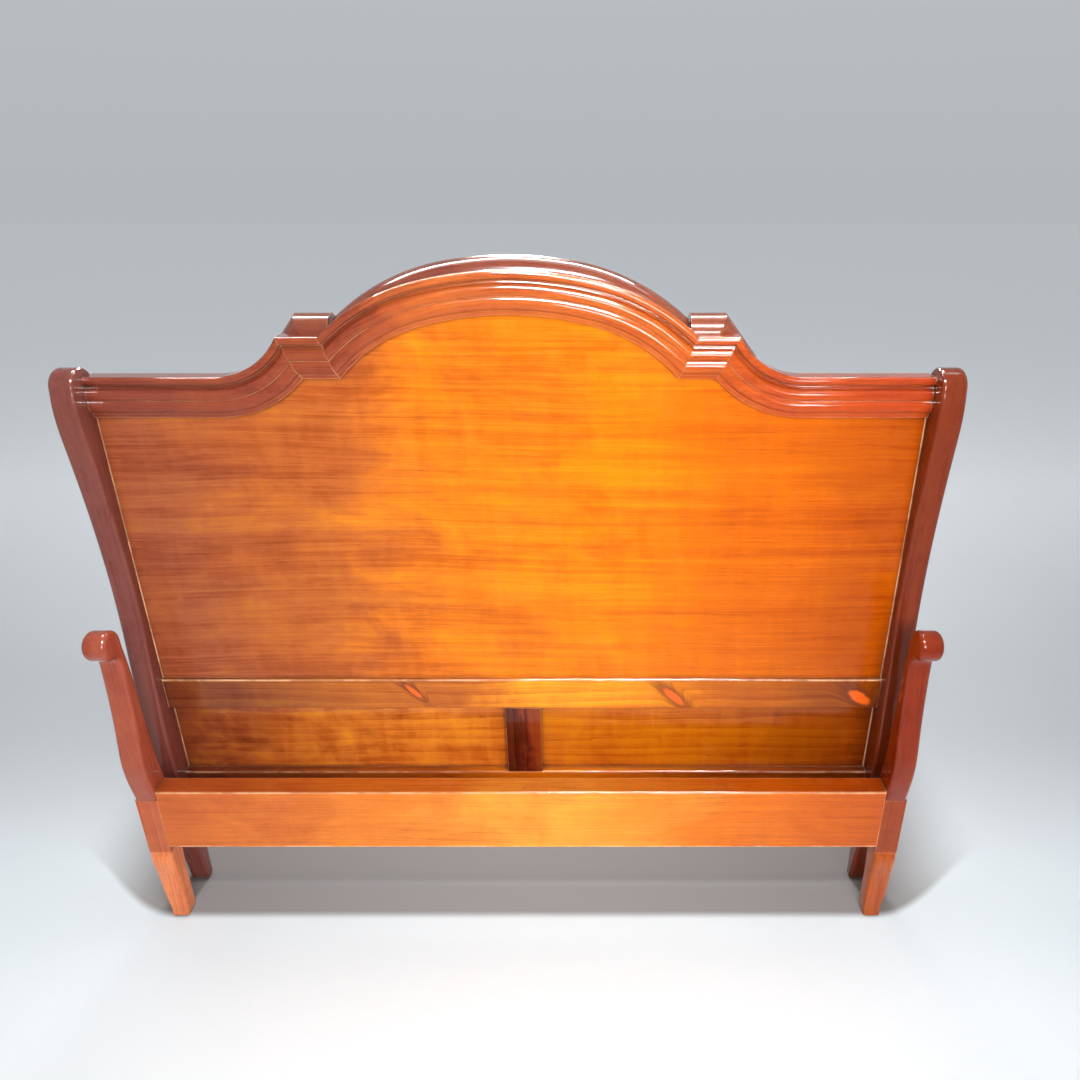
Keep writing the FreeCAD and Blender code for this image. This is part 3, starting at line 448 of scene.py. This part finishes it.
def dress_boards():
    """The headboard's panels, rails, stile and posts."""
    panel_low, panel_high = corners("upper_panel")
    post_inner = corners("headboard_post_right")[0].x
    # painted highlight lines along the panel's sides by the posts; painted shadow lines on the
    # panel just above the mid rail
    sides = [((side, panel_low.z), (side, panel_high.z)) for side in (-post_inner, post_inner)]
    rail_low, rail_high = corners("mid_rail")
    shadow_lines = level_lines([rail_high.z + 0.0045, rail_high.z + 0.0070])
    dress("upper_panel", wood("panel", PANEL, "x", 1.0, bands=0.80, streaks=0.52, cloud=0.50,
                              dark_joints_and_shadow_lines=shadow_lines, highlight_lines=sides, polish=0.20, coat=0.5))

    knot_z = rail_low.z + 0.45 * (rail_high.z - rail_low.z)
    knots = [(-0.235, knot_z + 0.010, 0.026, 0.006, 0.8),
             (0.328, knot_z - 0.004, 0.032, 0.009, 0.75),
             (0.731, knot_z - 0.006, 0.030, 0.013, 0.60)]
    # a painted highlight line along the mid rail's top arris
    top_arris = level_lines([rail_high.z - ARRIS_DROP])
    dress("mid_rail", wood("mid_rail", MID_RAIL, "x", 2.0, bands=0.5, streaks=0.5, cloud=0.5,
                           cathedral=0.22, knots=knots, highlight_lines=top_arris, polish=0.14))
    # a painted highlight line along the bottom rail's top arris
    low_arris = level_lines([corners("bottom_rail")[1].z - ARRIS_DROP])
    dress("bottom_rail", wood("bottom_rail", MID_RAIL, "x", 3.0, cathedral=0.2,
                              highlight_lines=low_arris))
    dress("centre_stile", wood("stile", STILE, "z", 4.0, bands=0.6, streaks=0.5, cloud=0.6,
                               cathedral=0.45))
    # the lower panels get painted highlight lines by the posts too
    for number, side in enumerate(SIDES):
        dress("lower_panel_" + side, wood("lower_panel_" + side, LOWER_PANEL, "x", 5.0 + number,
                                          bands=0.5, streaks=0.42, cloud=1.0, cathedral=0.2,
                                          highlight_lines=sides))
        dress("headboard_post_" + side, wood("post_" + side, POST, "z", 7.0 + number,
                                             bands=0.4, streaks=0.4, cloud=0.35, **GLOSSY))


def dress_crest():
    """The headboard's crest moulding and the roll behind it."""
    joints = crest_joints()
    bend = (0.0, corners("crest_arch")[1].z - BEND_RADIUS)
    dress("crest_arch", wood("crest_arch", CREST, bend, 9.0, bands=0.45, streaks=0.5, cloud=0.5,
                             dark_joints_and_shadow_lines=[joints[0]] + flipped([joints[0]]), **GLOSSY))
    dress("crown_roll_arch", wood("roll_arch", ROLL, bend, 10.0, cloud=0.5, **GLOSSY))
    for number, (side, seams) in enumerate(zip(SIDES, (flipped(joints), joints))):
        dress("crest_shoulder_" + side, wood("shoulder_" + side, CREST, "x", 11.0 + number,
                                             cloud=0.5, dark_joints_and_shadow_lines=seams, **GLOSSY))
        dress("crest_wing_" + side, wood("wing_" + side, CREST, "x", 13.0 + number, cloud=0.5,
                                         dark_joints_and_shadow_lines=[seams[1]], **GLOSSY))
        dress("crown_roll_side_" + side, wood("roll_" + side, ROLL, "x", 15.0 + number,
                                              cloud=0.5, **GLOSSY))


def dress_footboard():
    rail_low, rail_high = corners("footboard_rail")
    # painted highlight lines along the footboard rail's top and bottom arrises
    arrises = level_lines([rail_low.z + ARRIS_DROP, rail_high.z - ARRIS_DROP])
    # painted shade darkens the rail's top face
    dress("footboard_rail", wood("foot_rail", FOOT_RAIL, "x", 17.0, bands=0.26, streaks=0.46,
                                 cloud=0.26, highlight_lines=arrises, polish=0.16,
                                 above=(rail_high.z - 0.003, RAIL_TOP_PAINTED_SHADE)))
    for number, side in enumerate(SIDES):
        line_mark = level_lines([corners("footboard_arm_" + side)[0].z])
        dress("footboard_arm_" + side, wood("arm_" + side, ARM, "z", 18.0 + number, bands=0.4,
                                            cloud=0.5, dark_joints_and_shadow_lines=line_mark, **GLOSSY))
        dress("footboard_leg_" + side, wood("leg_" + side, LEG, "z", 20.0 + number, bands=0.4,
                                            cloud=0.5, dark_joints_and_shadow_lines=line_mark, polish=0.12, coat=1.0,
                                            above=(LEG_BLOCK_FROM, LEG_BLOCK_TINT)))


# --- fittings -------------------------------------------------------------------------------

def zinc_plate():
    """Bright zinc plate, faintly brushed and dulled in patches."""
    shader = Shader("zinc")
    place = shader.place()
    brush = shader.noise(place, (900, 900, 14), 3.0, 0.6)
    dull = shader.noise(place, 55.0, 5.0, 0.65)
    colour = shader.ramp(dull, [(0.30, (0.36, 0.36, 0.36)), (0.60, (0.62, 0.62, 0.61)),
                                (0.80, (0.70, 0.68, 0.62))])
    # painted shade darkens the zinc in its crevices
    colour = shader.mix(shader.times(shader.crevice(0.004), 0.6), colour, (0.10, 0.09, 0.08))
    roughness = shader.line(shader.times(dull, brush), 0.1, 0.45, 0.22, 0.48)
    return shader.finish(Base_Color=colour, Roughness=roughness, Metallic=1.0,
                         Normal=shader.bump(brush, 0.00008, 0.4))


def nylon():
    """Moulded brown nylon, scuffed underneath."""
    shader = Shader("nylon")
    place = shader.place()
    speck = shader.noise(place, 700.0, 3.0, 0.6)
    scuff = shader.noise(place, 90.0, 5.0, 0.7)
    colour = shader.ramp(scuff, [(0.35, (0.050, 0.038, 0.030)), (0.70, (0.11, 0.09, 0.075))])
    return shader.finish(Base_Color=colour, Roughness=shader.line(scuff, 0.3, 0.7, 0.42, 0.66),
                         Normal=shader.bump(speck, 0.0001, 0.5))


def beech():
    """Bare turned beech with its short dark flecks."""
    shader = Shader("beech")
    place = shader.place()
    streak = shader.noise(place, (300, 300, 9), 4.0, 0.6)
    fleck = shader.step(shader.noise(place, (900, 900, 160), 1.0), 0.62, 0.7)
    colour = shader.ramp(streak, [(0.30, (0.50, 0.32, 0.18)), (0.70, (0.70, 0.50, 0.32))])
    colour = shader.mix(shader.times(fleck, 0.5), colour, (0.32, 0.18, 0.09))
    return shader.finish(Base_Color=colour, Roughness=shader.step(streak, 0.2, 0.8, 0.5, 0.7),
                         Normal=shader.bump(streak, 0.0002, 0.5))


def dress_fittings():
    zinc, plastic = zinc_plate(), nylon()
    for end in ("headboard", "footboard"):
        for part in ("hook_plate_left", "hook_plate_right", "hook_screws"):
            dress(f"{end}_{part}", zinc)
        dress(end + "_glides", plastic)
    dress("footboard_arm_dowels", beech())


dress_boards()
dress_crest()
dress_footboard()
dress_fittings()


# --- floor, light and camera ----------------------------------------------------------------

FLOOR_IN_FRONT = (0.70, 0.76, 0.79)
FLOOR_BEHIND = (0.42, 0.45, 0.48)
FLOOR_FAR_OFF = (0.93, 0.96, 0.99)
FLOOR_IN_SHADOW = (0.072, 0.040, 0.033)


def bed_shadow(shader, x, y):
    """1 on the floor between and behind the two ends, where hardly any light reaches, else 0."""
    front_foot = corners("footboard_leg_left")[0].y
    bed_side, bed_back = cad_box[1][:2]
    reach = shader.math("ABSOLUTE", x)
    slant = shader.times(shader.step(reach, 0.80, 1.20), 0.22)
    ahead = shader.math("SUBTRACT", y, slant)
    shadow = shader.times(shader.step(ahead, front_foot - 0.004, front_foot + 0.022),
                          shader.step(y, bed_back + 0.75, bed_back + 0.10))
    return shader.times(shadow, shader.step(reach, 1.16, bed_side - 0.01))


def add_floor():
    """Plain pale floor: grey behind the bed, pale again far off, with a painted shadow under the
    bed.
    """
    half = 30.0
    mesh = bpy.data.meshes.new("floor")
    mesh.from_pydata([(-half, -half, 0), (half, -half, 0), (half, half, 0), (-half, half, 0)],
                     [], [(0, 1, 2, 3)])
    floor = bpy.data.objects.new("floor", mesh)
    bpy.context.collection.objects.link(floor)
    shader = Shader("floor")
    place = shader.place()
    x, y = shader.split(place)[:2]
    bed_front, bed_back = cad_box[0][1], cad_box[1][1]
    loose = shader.plus(y, shader.times(shader.noise(place, 1.3, 3.0), 0.12))
    behind = shader.step(loose, bed_front - 0.15, bed_back + 0.55)
    far_off = shader.step(loose, bed_back + 0.4, bed_back + 3.0)
    colour = shader.mix(behind, FLOOR_IN_FRONT, FLOOR_BEHIND)
    colour = shader.mix(far_off, colour, FLOOR_FAR_OFF)
    # painted shadow on the floor between, behind and beside the two ends
    colour = shader.mix(shader.times(bed_shadow(shader, x, y), 0.95), colour, FLOOR_IN_SHADOW)
    tooth = shader.noise(place, 260.0, 3.0)
    mesh.materials.append(shader.finish(Base_Color=colour, Roughness=0.75,
                                        Normal=shader.bump(tooth, 0.0004, 0.3)))


def add_area(name, place, target, size, power, colour=(1, 1, 1), spread=180, mirrored=True,
             lights=True):
    """Soft rectangular lamp that the camera doesn't see; mirrored ones show in the gloss.

    One that doesn't light anything is only there to be mirrored.
    """
    lamp = bpy.data.lights.new(name, "AREA")
    lamp.shape = "RECTANGLE"
    lamp.size, lamp.size_y = size
    lamp.energy = power
    lamp.color = colour
    lamp.spread = math.radians(spread)
    thing = bpy.data.objects.new(name, lamp)
    thing.location = place
    thing.rotation_euler = (Vector(target) - Vector(place)).to_track_quat("-Z", "Y").to_euler()
    thing.visible_camera = False
    thing.visible_glossy = mirrored
    thing.visible_diffuse = lights
    bpy.context.collection.objects.link(thing)


def add_lights():
    """Four lamps that light the bed, and three that only draw highlights on it."""
    add_area("key", (0.7, -2.5, 1.75), (0.15, 0.0, 1.0), (1.2, 0.8), 19, (1.0, 0.98, 0.95),
             spread=80)
    add_area("strip", (0.2, -1.5, 3.1), (0.0, 0.0, 1.3), (2.2, 0.18), 15)
    add_area("glint", (0.35, -1.45, 3.0), (0.1, 0.0, 1.3), (1.3, 0.16), 760, lights=False)
    add_area("rim", (-0.2, 0.9, 3.3), (-0.1, 0.1, 1.3), (3.2, 0.22), 240, lights=False)
    add_area("glare", (-0.25, 3.2, 3.3), (0.0, -0.1, 0.35), (0.7, 0.7), 700, lights=False)
    add_area("fill", (-2.6, -2.2, 1.6), (-0.5, 0.0, 0.8), (1.6, 1.8), 3, (0.96, 0.97, 1.0),
             mirrored=False)
    add_area("top", (0.0, 0.45, 3.4), (0.0, 0.3, 0.0), (3.6, 0.6), 34)


def add_world():
    """Studio dome: grey at the horizon, a little paler above it."""
    world = bpy.data.worlds.new("world")
    bpy.context.scene.world = world
    world.use_nodes = True
    tree = world.node_tree
    coordinate = tree.nodes.new("ShaderNodeTexCoord")
    split = tree.nodes.new("ShaderNodeSeparateXYZ")
    ramp = tree.nodes.new("ShaderNodeValToRGB")
    stops = ((0.0, (0.46, 0.48, 0.50, 1)), (0.22, (0.50, 0.515, 0.53, 1)))
    for element, (height, colour) in zip(ramp.color_ramp.elements, stops):
        element.position = height
        element.color = colour
    tree.links.new(coordinate.outputs["Generated"], split.inputs[0])
    tree.links.new(split.outputs[2], ramp.inputs[0])
    tree.links.new(ramp.outputs[0], tree.nodes["Background"].inputs[0])
    tree.nodes["Background"].inputs[1].default_value = 1.0


def add_camera():
    """Standing eye height in front of the foot of the bed, right of its middle."""
    rail_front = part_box("footboard_rail")[0].y
    stand_right, stand_back, eye_height, look_down = 0.145, 1.344, 1.548, 24.13
    camera = bpy.data.cameras.new("camera")
    camera.lens = 27.03
    camera.shift_x = -0.0456
    thing = bpy.data.objects.new("camera", camera)
    thing.location = (stand_right, rail_front - stand_back, eye_height)
    thing.rotation_euler = (math.radians(90 - look_down), 0, 0)
    bpy.context.collection.objects.link(thing)
    bpy.context.scene.camera = thing


add_floor()
add_lights()
add_world()
add_camera()
bpy.context.scene.view_settings.view_transform = "Standard"
